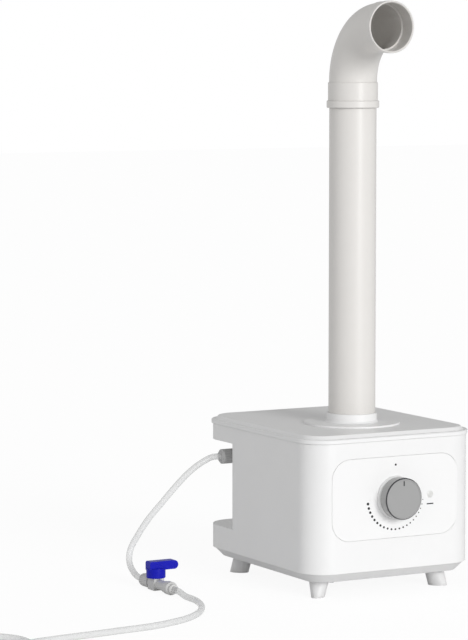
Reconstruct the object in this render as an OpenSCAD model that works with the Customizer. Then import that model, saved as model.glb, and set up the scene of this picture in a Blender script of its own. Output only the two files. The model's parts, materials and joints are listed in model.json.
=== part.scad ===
// Cool mist humidifier: a white cabinet on four feet, with a straight mist duct,
// a swivelling elbow, a front control panel and a water supply tube with a shut-off valve.
// Millimetres. +Z up, front of the cabinet towards -Y, feet on Z = 0.

/* [Cabinet] */
// Width of the cabinet across its front
body_width = 302; // [280:2:340]
// Depth of the cabinet from front to back
body_depth = 356; // [330:2:420]
// Height of the cabinet wall between the pan and the lid
shell_height = 204; // [196:2:250]
// Radius of the upright corners
corner_radius = 45; // [38:1:52]
// Thickness of the moulded walls
wall = 3; // [2.5:0.5:3.5]

/* [Rear recess] */
// Depth of the recess in the back
recess_depth = 81; // [74:1:92]
// Radius of the upright corners beside the recess
recess_corner = 25; // [22:1:30]
// Height of the ledge under the recess
ledge_height = 38; // [36:1:46]
// Height of the overhang above the recess
overhang_height = 26; // [24:1:32]

/* [Lid] */
// Width of the lid's overhang past the cabinet wall
lid_overhang = 2.5; // [1.5:0.5:3]
// Height of the lid's outer rim
lid_rim = 7; // [6:0.5:9]
// Rise of the raised deck above the rim
deck_rise = 5.5; // [4.5:0.5:7]
// Width of the flat step on the rim
rim_step = 6.5; // [5:0.5:8]

/* [Base] */
// Depth of the tapered base pan
pan_depth = 14.5; // [13:0.5:20]
// Inset of the pan's bottom edge from the cabinet wall
pan_inset = 16.5; // [12:0.5:18]
// Height of the feet
foot_height = 28; // [24:1:40]
// Width of a foot where it meets the pan
foot_top_width = 33; // [26:1:36]
// Width of a foot at the floor
foot_bottom_width = 20.5; // [16:0.5:28]
// Length of a foot towards its corner of the cabinet
foot_length = 31; // [24:1:34]
// Outward lean of the feet in degrees
foot_lean = 14; // [4:1:16]

/* [Mist duct] */
// Outside diameter of the duct pipe
pipe_diameter = 75; // [63:1:80]
// Wall thickness of the duct pipe
pipe_wall = 2.9; // [2.2:0.1:3.6]
// Length of pipe seen between the collar and the elbow
pipe_exposed = 486; // [250:2:900]
// Distance of the duct's centre behind the front of the cabinet
duct_setback = 134; // [126:1:142]
// Radius of the elbow along its centre line
bend_radius = 86; // [82:1:96]
// Straight length of the elbow's outlet
outlet_length = 31; // [28:1:48]
// Radius of the flange that covers the hole in the lid
flange_radius = 77; // [70:1:84]

/* [Controls] */
// Width of the control panel
panel_width = 230; // [216:1:240]
// Height of the control panel
panel_height = 128; // [122:1:136]
// Corner radius of the control panel
panel_corner = 32; // [20:1:40]
// Diameter of the control knob
knob_diameter = 66; // [50:1:70]
// Depth of the control knob
knob_depth = 18; // [14:1:22]
// Radius of the ring of dots round the knob
dial_radius = 51; // [46:1:54]

/* [Water supply] */
// Outside diameter of the supply tube
tube_diameter = 10; // [8:0.5:12]
// Radius of the compression nuts
nut_radius = 12; // [11:0.5:13]
// Length of the shut-off lever from its pivot to its tip
lever_length = 36; // [30:1:44]

/* [Hidden] */
$fn = 64;

white = [0.95, 0.95, 0.94];
ivory = [0.93, 0.92, 0.89];
grey = [0.62, 0.63, 0.64];
dark = [0.12, 0.12, 0.13];
rubber_grey = [0.25, 0.25, 0.26];
steel = [0.72, 0.73, 0.75];
blue = [0.05, 0.06, 0.75];
clear = [0.85, 0.88, 0.9];
green = [0.1, 0.35, 0.2];
brass = [0.8, 0.65, 0.3];

// levels above the floor
pan_z = foot_height;
shell_z = pan_z + pan_depth;
lid_z = shell_z + shell_height;
rim_z = lid_z + lid_rim;
deck_z = rim_z + deck_rise;
ceiling_z = deck_z - wall;
ledge_z = shell_z + ledge_height;
overhang_z = lid_z - overhang_height;
dial_z = shell_z + shell_height * 0.56;

// cabinet faces seen from the cabinet's own centre
half_w = body_width / 2;
half_d = body_depth / 2;
front_y = -half_d;
recess_y = half_d - recess_depth;
duct_y = front_y + duct_setback;
lid_corner = corner_radius + lid_overhang;

// the row's origin is under the middle of the whole outline
knob_gap = 8;
front_reach = half_d + knob_gap + knob_depth;
back_reach = half_d + lid_overhang;
body_y = (front_reach - back_reach) / 2;

// fits
running = 0.05;
slip = 0.4;

// duct
pipe_r = pipe_diameter / 2;
pipe_inner = pipe_r - pipe_wall;
collar_z = deck_z + 17.5;
collar_r = pipe_r + 2.8;
pipe_foot_z = lid_z - 8;
neck_z = pipe_foot_z - 8;
elbow_z = collar_z + pipe_exposed;
socket_depth = 41;
bend_z = elbow_z + socket_depth;
outlet_z = bend_z + bend_radius;
outlet_y = duct_y - bend_radius - outlet_length;
pipe_length = bend_z - 3 - pipe_foot_z;
socket_r = pipe_r + 2.1;
bead_r = pipe_r + 4.2;
bead_length = 11.4;
bend_r = pipe_r + 0.5;

// tank
tank_left = -half_w + wall + 8;
tank_right = half_w - 85;
tank_x = (tank_left + tank_right) / 2;
tank_w = tank_right - tank_left;
tank_front = front_y + wall + 57;
tank_back = recess_y - wall;
tank_y = (tank_front + tank_back) / 2;
tank_d = tank_back - tank_front;
tank_corner = recess_corner - wall - 8;
tank_z = shell_z + 4;
tank_floor = tank_z + wall;
tank_top = lid_z - 4;
seal_height = 6;

// transducer module
module_w = 130;
module_d = 96;
module_h = 24;
module_z = tank_floor + 34;
module_top = module_z + module_h;
disc_pitch = 38;

// inlet fitting and float valve
inlet_x = -half_w + 39;
inlet_z = shell_z + shell_height * 0.748;
elbow_leg = 19;
inlet_y = recess_y + elbow_leg;
nut_end_x = -half_w - lid_overhang;
stem_r = 7;
pivot_y = tank_back - wall - 26;
pivot_z = inlet_z - 14;

// blower
blower_x = tank_right + 16;
blower_w = 34;
blower_r = 46;
blower_y = front_y + 118;
blower_z = shell_z + 88;
blower_outlet = 40;
vent_z = lid_z - 42;
vent_h = 30;
impeller_r = 38;

// supply line
tube_r = tube_diameter / 2;
valve_x = -306;
valve_y = 48;
valve_nut_r = nut_radius - 1.5;
valve_z = valve_nut_r;
valve_in_y = 92;
valve_out_y = -14;
valve_top = valve_z + 9;
lever_thick = 14;
coil_x = -760;
coil_y = -337;
coil_r = 52;
coil_turns = 2.5;
coil_pitch = 1.02 * tube_diameter;
adapter_x = -676;
adapter_r = 13;

// places of the tube's centre line, from the fitting to the valve
fit_x = nut_end_x;
upper_points = [
  [fit_x, inlet_y, inlet_z],
  [fit_x - 15, inlet_y, inlet_z],
  [fit_x - 36, inlet_y + 3, inlet_z - 10],
  [fit_x - 57, inlet_y + 7, inlet_z - 26],
  [-231, 129, 147],
  [-251, 135, 123],
  [-271, 142, 98],
  [-288, 149, 70],
  [-299, 152, 48],
  [-304, 145, 29],
  [-305, 130, 17],
  [-306, 112, valve_z + 1],
  [valve_x, valve_in_y, valve_z]];
// from the valve to the coil
lower_points = [
  [valve_x, valve_out_y, valve_z],
  [valve_x, -30, valve_z - 0.5],
  [-306, -54, tube_r + 1],
  [-305, -82, tube_r],
  [-315, -120, tube_r],
  [-332, -154, tube_r],
  [-357, -186, tube_r],
  [-395, -215, tube_r],
  [-454, -238, tube_r],
  [-508, -245, tube_r],
  [-558, -251, tube_r],
  [-610, -256, tube_r],
  [-660, -263, tube_r],
  [-710, -276, tube_r],
  [-740, -283, tube_r]];
// from the coil to the tap adapter
tail_points = [
  [coil_x + 15, coil_y - coil_r, 30],
  [-728, -389, 27],
  [-710, -389, 20],
  [-692, -389, adapter_r],
  [adapter_x, coil_y - coil_r, adapter_r]];

// a smooth curve through the points, sampled between them
function blend(a, b, c, d, t) =
  0.5 * ((2 * b) + (c - a) * t + (2 * a - 5 * b + 4 * c - d) * t * t
         + (3 * b - a - 3 * c + d) * t * t * t);
function pick(p, i) = p[min(max(i, 0), len(p) - 1)];
function smooth(p, steps) = concat(
  [for (i = [0 : len(p) - 2], k = [0 : steps - 1])
    blend(pick(p, i - 1), pick(p, i), pick(p, i + 1), pick(p, i + 2), k / steps)],
  [p[len(p) - 1]]);
function unit(v) = v / norm(v);
function heading(p, i) = unit(pick(p, i + 1) - pick(p, i - 1));
function side_of(h) = unit(cross(h, abs(h[2]) > 0.9 ? [0, 1, 0] : [0, 0, 1]));
function ring(p, i, r, n) =
  let (h = heading(p, i), s = side_of(h), u = cross(s, h))
  [for (k = [0 : n - 1]) p[i] + r * (cos(360 * k / n) * s + sin(360 * k / n) * u)];

// a plain round tube along the points
module hose(points, r) {
  n = 10;
  rings = len(points);
  polyhedron(
    points = [for (i = [0 : rings - 1]) each ring(points, i, r, n)],
    faces = concat(
      [[for (k = [0 : n - 1]) k]],
      [for (i = [0 : rings - 2], k = [0 : n - 1])
        [i * n + k, (i + 1) * n + k, (i + 1) * n + (k + 1) % n, i * n + (k + 1) % n]],
      [[for (k = [n - 1 : -1 : 0]) (rings - 1) * n + k]]),
    convexity = 10);
}

// places a piece drawn round the cabinet's centre in the row's frame
module framed() {
  translate([0, body_y, 0])
  children();
}

// flat rounded rectangle, made of a cross and four circles
module plate2d(w, d, r) {
  square([w - 2 * r, d], center = true);
  square([w, d - 2 * r], center = true);
  for (x = [-1, 1], y = [-1, 1])
    translate([x * (w / 2 - r), y * (d / 2 - r)])
    circle(r);
}

module slab(w, d, r, z, h) {
  translate([0, 0, z])
  linear_extrude(h)
  plate2d(w, d, r);
}

// carries the 2D edge profile given as a child round a rounded rectangle
module swept_edge(w, d, r) {
  for (q = [[1, 1, 0], [-1, 1, 90], [-1, -1, 180], [1, -1, 270]])
    translate([q[0] * (w / 2 - r), q[1] * (d / 2 - r), 0])
    rotate([0, 0, q[2]])
    rotate_extrude(angle = 90)
    children();
  for (s = [-1, 1]) {
    translate([s * (w / 2 - r), s * (d / 2 - r), 0])
    rotate([90, 0, s > 0 ? 0 : 180])
    linear_extrude(d - 2 * r)
    children();
    translate([-s * (w / 2 - r), s * (d / 2 - r), 0])
    rotate([90, 0, s > 0 ? 90 : -90])
    linear_extrude(w - 2 * r)
    children();
  }
}

module along_x(x, y, z, r, h) {
  translate([x, y, z])
  rotate([0, 90, 0])
  cylinder(r = r, h = h);
}

module along_y(x, y, z, r, h) {
  translate([x, y, z])
  rotate([-90, 0, 0])
  cylinder(r = r, h = h);
}

module block(x, y, z, w, d, h) {
  translate([x, y, z])
  cube([w, d, h]);
}

// outline of the cabinet at the recess, grown or shrunk by e
module waist2d(e) {
  w = body_width + 2 * e;
  back = recess_y + e;
  front = front_y - e;
  rf = corner_radius + e;
  rb = recess_corner + e;
  translate([-w / 2, front + rf])
  square([w, back - rb - front - rf]);
  translate([-w / 2 + rf, front])
  square([w - 2 * rf, back - front - rb]);
  translate([-w / 2 + rb, front + rf])
  square([w - 2 * rb, back - front - rf]);
  for (s = [-1, 1]) {
    translate([s * (w / 2 - rf), front + rf])
    circle(rf);
    translate([s * (w / 2 - rb), back - rb])
    circle(rb);
  }
}

module waist(e, z, h) {
  translate([0, 0, z])
  linear_extrude(h)
  waist2d(e);
}

module cabinet_hollow() {
  slab(body_width - 2 * wall, body_depth - 2 * wall, corner_radius - wall,
       shell_z - 1, ledge_height - wall + 1);
  waist(-wall, shell_z - 1, shell_height + 2);
  slab(body_width - 2 * wall, body_depth - 2 * wall, corner_radius - wall,
       overhang_z + wall, overhang_height);
}

boss_x = half_w - 51;
boss_y = half_d - 28;
board_y = front_y + 27;
board_w = 96;
board_h = 62;
post_x = board_w / 2 - 6;
post_z = board_h / 2 - 6;
led_x = 64;

module housing_shell() color(white) framed() {
  difference() {
    union() {
      slab(body_width, body_depth, corner_radius, shell_z, ledge_height);
      waist(0, ledge_z, overhang_z - ledge_z);
      slab(body_width, body_depth, corner_radius, overhang_z, overhang_height);
    }
    cabinet_hollow();
    // pocket for the front panel
    translate([0, front_y + 1, dial_z])
    rotate([90, 0, 0])
    linear_extrude(2)
    plate2d(panel_width + 2 * slip, panel_height + 2 * slip, panel_corner + slip);
    // holes for the dial bushing and the lamp
    along_y(0, front_y - 1, dial_z, 3.8, wall + 2);
    along_y(led_x, front_y - 1, dial_z, 3.4, wall + 2);
    // opening for the rear panel
    block(-half_w + recess_corner, recess_y - wall - 1, ledge_z,
          body_width - 2 * recess_corner, wall + 2, overhang_z - ledge_z);
    // hole for the drain
    along_y(drain_x, half_d - wall - 1, drain_z, drain_r + 0.3, wall + 2);
  }
  // posts for the control board
  difference() {
    for (x = [-1, 1], z = [-1, 1])
      along_y(x * post_x, front_y + wall - 0.5, dial_z + z * post_z, 3.5, board_y - front_y - wall + 0.5);
    for (x = [-1, 1], z = [-1, 1])
      along_y(x * post_x, board_y - 8, dial_z + z * post_z, 1.2, 9);
  }
  // bosses for the base screws
  for (x = [-1, 1]) {
    difference() {
      union() {
        translate([x * boss_x, boss_y, pan_z + wall])
        cylinder(r = 5, h = ledge_z - wall - pan_z - wall + 0.5);
        translate([x * boss_x, -boss_y, pan_z + wall])
        cylinder(r = 5, h = 34);
        block(x * boss_x - 1.5, front_y + wall - 0.5, shell_z + 1, 3, half_d - boss_y - wall - 3, 20);
      }
      for (y = [-1, 1])
        translate([x * boss_x, y * boss_y, pan_z + wall - 1])
        cylinder(r = 1.9, h = 22);
    }
  }
}

// flat wall of the recess that carries the inlet and the mains socket
module rear_panel() color(white) framed() {
  difference() {
    block(-half_w + recess_corner, recess_y - wall, ledge_z,
          body_width - 2 * recess_corner, wall, overhang_z - ledge_z);
    along_y(inlet_x, recess_y - wall - 1, inlet_z, stem_r + 0.3, wall + 2);
    block(mains_x - 14.2, recess_y - wall - 1, mains_z - 10.2, 28.4, wall + 2, 20.4);
    for (s = [-1, 1])
      along_y(mains_x + s * 20, recess_y - wall - 1, mains_z, 1.7, wall + 2);
  }
}

module pan_posts() {
  for (x = [tank_left + 24, tank_right - 24], y = [tank_front + 24, tank_back - 24])
    translate([x, y, pan_z + wall - 0.5])
    cylinder(r = 8, h = tank_z - pan_z - wall + 0.5);
}

grille_x = half_w - 52;
grille_y = front_y + 118;
foot_x = half_w - 40;
foot_y = half_d - 50;
// the feet lean, so their screws stand nearer the middle
foot_screw_x = foot_x - pan_z * tan(foot_lean) * sqrt(0.5);
foot_screw_y = foot_y - pan_z * tan(foot_lean) * sqrt(0.5);

module base_pan() color(white) framed() {
  difference() {
    union() {
      swept_edge(body_width, body_depth, corner_radius)
      polygon([[0, pan_z], [corner_radius - pan_inset, pan_z], [corner_radius - 2, shell_z],
               [0, shell_z]]);
      slab(body_width - 2 * corner_radius + 1, body_depth - 2 * corner_radius + 1, 1,
           pan_z, pan_depth);
    }
    slab(body_width - 2 * pan_inset - 2 * wall, body_depth - 2 * pan_inset - 2 * wall,
         corner_radius - pan_inset - wall, pan_z + wall, pan_depth);
    translate([grille_x, grille_y, pan_z - 1])
    cylinder(r = 25, h = wall + 2);
    for (x = [-1, 1], y = [-1, 1]) {
      translate([x * foot_screw_x, y * foot_screw_y, pan_z - 1])
      cylinder(r = 2.6, h = wall + 2);
      translate([x * boss_x, y * boss_y, pan_z - 1])
      cylinder(r = 2.2, h = wall + 2);
    }
  }
  pan_posts();
}

module base_screws() color(steel) framed() {
  for (x = [-1, 1], y = [-1, 1])
    translate([x * boss_x, y * boss_y, 0]) {
      translate([0, 0, pan_z])
      cylinder(r = 1.8, h = 20);
      difference() {
        translate([0, 0, pan_z - 2.4])
        cylinder(r = 4, h = 2.4);
        translate([-0.6, -3, pan_z - 2.5])
        cube([1.2, 6, 1.3]);
        translate([-3, -0.6, pan_z - 2.5])
        cube([6, 1.2, 1.3]);
      }
    }
}

pad_height = 2.5;

// width of a foot at a height, which narrows towards the floor
function foot_width(z) = foot_bottom_width + (foot_top_width - foot_bottom_width) * z / pan_z;

// outline of the foot at a height, leaning towards its corner of the cabinet
module foot_outline(z) {
  translate([-z * tan(foot_lean), 0, z])
  linear_extrude(0.01)
  scale([foot_length / foot_width(z), 1])
  circle(d = foot_width(z), $fn = 40);
}

// the leaning leg of one foot, between two heights
module foot_slice(x, y, low, high) {
  translate([x * foot_x, y * foot_y, 0])
  rotate([0, 0, atan2(y, x)])
  hull() {
    foot_outline(low);
    foot_outline(high - 0.01);
  }
}

module foot(x, y) color(white) framed() {
  difference() {
    foot_slice(x, y, pad_height, pan_z);
    translate([x * foot_screw_x, y * foot_screw_y, pad_height + 8])
    cylinder(r = 2.4, h = foot_height);
  }
}

module foot_front_left() {
  foot(-1, -1);
}

module foot_front_right() {
  foot(1, -1);
}

module foot_rear_left() {
  foot(-1, 1);
}

module foot_rear_right() {
  foot(1, 1);
}

module foot_pads() color(rubber_grey) framed() {
  for (x = [-1, 1], y = [-1, 1])
    foot_slice(x, y, 0, pad_height);
}

module foot_screws() color(steel) framed() {
  for (x = [-1, 1], y = [-1, 1])
    translate([x * foot_screw_x, y * foot_screw_y, 0]) {
      translate([0, 0, pad_height + 8])
      cylinder(r = 2.3, h = pan_z + wall - pad_height - 8);
      translate([0, 0, pan_z + wall])
      cylinder(r = 4.5, h = 3, $fn = 6);
    }
}

module lid() color(white) framed() {
  r = lid_corner;
  step = rim_step + deck_rise;
  difference() {
    union() {
      swept_edge(body_width + 2 * lid_overhang, body_depth + 2 * lid_overhang, r)
      polygon([[0, lid_z], [r - 0.8, lid_z], [r, lid_z + 0.8], [r, rim_z - 1.4],
               [r - 1.4, rim_z], [r - rim_step, rim_z], [r - step + 0.6, deck_z - 0.4],
               [r - step - 0.8, deck_z], [0, deck_z]]);
      slab(body_width - 2 * corner_radius + 1, body_depth - 2 * corner_radius + 1, 1,
           lid_z, lid_rim + deck_rise);
      // locating lip inside the cabinet wall
      slab(body_width - 2 * wall - 2 * slip, body_depth - 2 * wall - 2 * slip,
           corner_radius - wall - slip, lid_z - 6, 8);
    }
    slab(body_width - 2 * wall - 8, body_depth - 2 * wall - 8, corner_radius - wall - 4,
         lid_z - 7, 10.5);
    slab(body_width - 28, body_depth - 28, corner_radius - 14, lid_z, ceiling_z - lid_z);
    translate([0, duct_y, lid_z - 10])
    cylinder(r = collar_r + 0.4, h = 40);
  }
  // rib that presses the seal onto the tank
  difference() {
    translate([tank_x, tank_y, 0])
    slab(tank_w + 6, tank_d + 6, tank_corner + 3, tank_top + seal_height,
         ceiling_z - tank_top - seal_height + 0.5);
    translate([tank_x, tank_y, 0])
    slab(tank_w, tank_d, tank_corner, tank_top + seal_height - 1, 30);
  }
}

module lid_seal() color(rubber_grey) framed() {
  translate([tank_x, tank_y, 0])
  difference() {
    slab(tank_w + 6, tank_d + 6, tank_corner + 3, tank_top, seal_height);
    slab(tank_w - 4, tank_d - 4, tank_corner - 2, tank_top - 1, seal_height + 2);
  }
}

module duct_flange() color(white) framed() translate([0, duct_y, 0]) {
  rotate_extrude($fn = 128)
  polygon([[pipe_inner, neck_z], [collar_r, neck_z], [collar_r, deck_z],
           [flange_radius, deck_z], [flange_radius, deck_z + 2.2],
           [flange_radius - 0.8, deck_z + 3], [collar_r + 2.8, deck_z + 3],
           [collar_r, deck_z + 5.8], [collar_r, collar_z - 0.8], [collar_r - 0.8, collar_z],
           [pipe_r + running + 0.6, collar_z], [pipe_r + running, collar_z - 0.6],
           [pipe_r + running, pipe_foot_z], [pipe_inner, pipe_foot_z]]);
}

module duct_flange_nut() color(white) framed() translate([0, duct_y, 0]) {
  difference() {
    translate([0, 0, ceiling_z - 11])
    cylinder(r = collar_r + 9, h = 11);
    translate([0, 0, ceiling_z - 12])
    cylinder(r = collar_r + 0.1, h = 14);
    for (a = [0 : 45 : 315])
      rotate([0, 0, a])
      translate([collar_r + 6.5, -4, ceiling_z - 12])
      cube([8, 8, 14]);
  }
}

module duct_pipe() color(ivory) framed() translate([0, duct_y, pipe_foot_z]) {
  difference() {
    cylinder(r = pipe_r, h = pipe_length, $fn = 128);
    translate([0, 0, -1])
    cylinder(r = pipe_inner, h = pipe_length + 2, $fn = 128);
  }
}

module elbow() color(ivory) framed() {
  bore = pipe_r + running;
  stop = 3;
  // lower socket with its bead and shoulder
  translate([0, duct_y, elbow_z])
  rotate_extrude($fn = 128)
  polygon([[bore, 0.6], [bore + 0.6, 0], [bead_r - 1, 0], [bead_r, 1], [bead_r, bead_length - 1],
           [bead_r - 1, bead_length], [socket_r, bead_length],
           [socket_r, socket_depth - 1.6], [bend_r, socket_depth], [pipe_inner, socket_depth],
           [pipe_inner, socket_depth - stop], [bore, socket_depth - stop]]);
  // quarter bend
  translate([0, duct_y - bend_radius, bend_z])
  rotate([90, 0, 90])
  rotate_extrude(angle = 90, $fn = 96)
  translate([bend_radius, 0])
  difference() {
    circle(bend_r, $fn = 72);
    circle(pipe_inner, $fn = 72);
  }
  // outlet socket
  translate([0, duct_y - bend_radius, outlet_z])
  rotate([90, 0, 0])
  rotate_extrude($fn = 128)
  polygon([[pipe_inner, 0], [bend_r, 0], [socket_r, 1.6], [socket_r, outlet_length - bead_length],
           [bead_r - 2, outlet_length - bead_length],
           [bead_r - 1, outlet_length - bead_length + 1],
           [bead_r - 1, outlet_length - 1], [bead_r - 2, outlet_length],
           [bore + 1.4, outlet_length], [bore, outlet_length - 1.4], [bore, stop],
           [pipe_inner, stop]]);
}

module front_panel() color(white) framed() {
  difference() {
    translate([0, front_y + 1, dial_z])
    rotate([90, 0, 0])
    linear_extrude(1)
    plate2d(panel_width, panel_height, panel_corner);
    along_y(0, front_y - 1, dial_z, 3.8, 3);
    along_y(led_x, front_y - 1, dial_z, 3.4, 3);
  }
}

first_dot = 98.6;
dot_step = 8.14;
dot_count = 21;

module dial_marks() color(dark) framed() {
  for (i = [0 : dot_count - 1])
    let (a = first_dot + dot_step * i)
    along_y(dial_radius * sin(a), front_y - 0.15, dial_z + dial_radius * cos(a),
            0.8 + 1.5 * i / (dot_count - 1), 0.15);
  along_y(0, front_y - 0.15, dial_z + dial_radius, 1.8, 0.15);
  block(led_x - 6, front_y - 0.15, dial_z - 16, 12, 0.15, 1.8);
}

module dial_collar() color(white) framed() {
  translate([0, front_y, dial_z])
  rotate([90, 0, 0])
  rotate_extrude($fn = 96)
  polygon([[14, 0], [knob_diameter / 2 + 1, 0], [knob_diameter / 2 + 0.4, 4],
           [knob_diameter / 2 - 1.6, 6.4], [14, 6.4]]);
}

module control_knob() color(grey) framed() {
  r = knob_diameter / 2;
  translate([0, front_y - knob_gap, dial_z])
  rotate([90, 0, 0])
  difference() {
    rotate_extrude($fn = 128)
    polygon([[3, 0], [r - 0.8, 0], [r, 0.8], [r, knob_depth - 1.6], [r - 1.6, knob_depth],
             [r - 3, knob_depth], [r - 3.8, knob_depth - 0.7], [0, knob_depth - 0.7],
             [0, knob_depth - 5], [3, knob_depth - 5]]);
    // seat of the pointer
    translate([-1, r - 12.5, knob_depth - 1.5])
    cube([2, 7.5, 3]);
  }
}

module knob_pointer() color(dark) framed() {
  r = knob_diameter / 2;
  translate([0, front_y - knob_gap, dial_z])
  rotate([90, 0, 0])
  translate([-1, r - 12.5, knob_depth - 1.5])
  cube([2, 7.5, 1]);
}

pot_depth = 12;

module potentiometer_body() color(dark) framed() {
  difference() {
    union() {
      along_y(0, board_y - pot_depth, dial_z, 9, pot_depth);
      along_y(0, front_y - 5, dial_z, 3.5, board_y - pot_depth - front_y + 6);
      block(-6, board_y - 3, dial_z - 14, 12, 3, 8);
    }
    along_y(0, front_y - 6, dial_z, 3 + running, board_y - front_y + 3);
  }
}

module potentiometer_shaft() color(steel) framed() {
  along_y(0, front_y - knob_gap - knob_depth + 5, dial_z, 3,
          board_y - 4 - front_y + knob_gap + knob_depth - 5);
}

module potentiometer_nut() color(steel) framed() {
  translate([0, front_y, dial_z])
  rotate([90, 0, 0])
  difference() {
    union() {
      cylinder(r = 7, h = 0.8);
      translate([0, 0, 0.8])
      cylinder(r = 6, h = 2.6, $fn = 6);
    }
    translate([0, 0, -1])
    cylinder(r = 3.5, h = 6);
  }
}

module led_lens() color(clear) framed() {
  translate([led_x, front_y, dial_z])
  rotate([90, 0, 0])
  rotate_extrude()
  polygon([[0, 0.9], [3.5, 0.7], [5, 0.3], [5.6, 0], [3.2, 0], [3.2, front_y - board_y],
           [0, front_y - board_y]]);
}

module control_board() color(green) framed() {
  difference() {
    block(-board_w / 2, board_y, dial_z - board_h / 2, board_w + 26, 1.6, board_h);
    for (x = [-1, 1], z = [-1, 1])
      along_y(x * post_x, board_y - 1, dial_z + z * post_z, 1.5, 4);
  }
  block(-36, board_y + 1.4, dial_z - 12, 22, 10, 16);
  block(24, board_y + 1.4, dial_z - 22, 14, 8, 30);
  along_y(-2, board_y + 1.4, dial_z + 18, 5, 14);
  along_y(11, board_y + 1.4, dial_z + 18, 4, 11);
}

module water_tank() color(clear) framed() {
  difference() {
    translate([tank_x, tank_y, 0]) {
      difference() {
        union() {
          slab(tank_w, tank_d, tank_corner, tank_z, tank_top - tank_z);
          slab(tank_w + 6, tank_d + 6, tank_corner + 3, tank_top - 3, 3);
        }
        slab(tank_w - 2 * wall, tank_d - 2 * wall, tank_corner - wall, tank_floor,
             tank_top - tank_floor + 1);
      }
    }
    along_y(inlet_x, tank_back - wall - 1, inlet_z, stem_r + 0.3, wall + 2);
    along_y(drain_x, tank_back - wall - 1, drain_z, drain_r + 0.3, wall + 2);
    block(tank_right - wall - 1, blower_y - 17, vent_z + 3, wall + 2, 34, vent_h - 6);
  }
}

module disc_places() {
  for (x = [-1, 0, 1], y = [-0.5, 0.5])
    translate([tank_x + x * disc_pitch, tank_y + y * disc_pitch, 0])
    children();
}

module transducer_housing() color(steel) framed() {
  difference() {
    union() {
      translate([tank_x, tank_y, 0])
      slab(module_w, module_d, 12, module_z, module_h);
      for (x = [-1, 1], y = [-1, 1])
        translate([tank_x + x * 52, tank_y + y * 34, tank_floor])
        cylinder(r = 6, h = module_z - tank_floor + 1);
    }
    disc_places()
    translate([0, 0, module_top - 6])
    cylinder(r = 13, h = 7);
    // cable and sensor well
    translate([tank_x + 56, tank_y, module_top - 4])
    cylinder(r = 3, h = 5);
  }
}

module transducer_rings() color(rubber_grey) framed() {
  disc_places()
  translate([0, 0, module_top - 6])
  difference() {
    cylinder(r = 13, h = 3);
    translate([0, 0, -1])
    cylinder(r = 9, h = 5);
    translate([0, 0, 1])
    cylinder(r = 10, h = 1.2);
  }
}

module transducer_discs() color(brass) framed() {
  disc_places()
  translate([0, 0, module_top - 5])
  cylinder(r = 10, h = 1.2);
}

arm_length = 62;
arm_drop = 26;
plunger_arm = 13;

module float_valve_body() color(white) framed() {
  reach = tank_back - wall - 4 - pivot_y;
  difference() {
    union() {
      // threaded stem through the tank and the cabinet wall
      along_y(inlet_x, tank_back - wall - 4, inlet_z, stem_r, inlet_y - 7 - tank_back + wall + 4);
      along_y(inlet_x, tank_back - wall - 4, inlet_z, 11, 4);
      // block that holds the seat over the arm
      block(inlet_x - 8, pivot_y - 20, pivot_z + 8, 16, reach + 20, 12);
      // two ears for the pin
      for (x = [-8, 5])
        block(inlet_x + x, pivot_y - 5, pivot_z - 5, 3, 10, 14);
    }
    along_y(inlet_x, pivot_y - plunger_arm, inlet_z, 2.5, reach + 60);
    // guide of the plunger
    translate([inlet_x, pivot_y - plunger_arm, pivot_z + 7])
    cylinder(r = 3 + running, h = 7);
    along_x(inlet_x - 9, pivot_y, pivot_z, 1.5, 18);
  }
}

module float_pin() color(steel) framed() {
  along_x(inlet_x - 8.5, pivot_y, pivot_z, 1.5, 17);
}

module float_arm() color(white) framed() {
  difference() {
    union() {
      along_x(inlet_x - 4.5, pivot_y, pivot_z, 4.5, 9);
      block(inlet_x - 3, pivot_y - 24, pivot_z - 3, 6, 24, 6);
      block(inlet_x - 3, pivot_y - 30, pivot_z - arm_drop, 6, 6, arm_drop + 3);
      block(inlet_x - 3, pivot_y - arm_length, pivot_z - arm_drop, 6, arm_length - 26, 6);
    }
    along_x(inlet_x - 10, pivot_y, pivot_z, 1.5 + running, 20);
  }
}

module float_ball() color(blue) framed() {
  difference() {
    translate([inlet_x, pivot_y - arm_length, pivot_z - arm_drop + 3])
    sphere(r = 17);
    block(inlet_x - 3.02, pivot_y - arm_length - 0.02, pivot_z - arm_drop - 0.02, 6.04, 40, 6.04);
  }
}

module float_plunger() color(rubber_grey) framed() {
  translate([inlet_x, pivot_y - plunger_arm, pivot_z + 6])
  cylinder(r = 3, h = 4.5);
  translate([inlet_x, pivot_y - plunger_arm, pivot_z + 3.4])
  cylinder(r = 1.2, h = 3);
}

module blower_housing() color(dark) framed() {
  difference() {
    union() {
      along_x(blower_x, blower_y, blower_z, blower_r, blower_w);
      block(blower_x, blower_y - 20, blower_z, blower_w, 40, vent_z - blower_z);
      for (y = [-42, 30])
        block(blower_x + 4, blower_y + y, pan_z + wall, 26, 12, blower_z - pan_z - wall);
    }
    along_x(blower_x + 2.5, blower_y, blower_z, blower_r - 2.5, blower_w - 5);
    block(blower_x + 2.5, blower_y - 17.5, blower_z, blower_w - 5, 35, vent_z - blower_z + 1);
    // air intake on the left and the motor hole on the right
    along_x(blower_x - 1, blower_y, blower_z, 24, 5);
    along_x(blower_x + blower_w - 4, blower_y, blower_z, 4, 6);
  }
}

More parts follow.
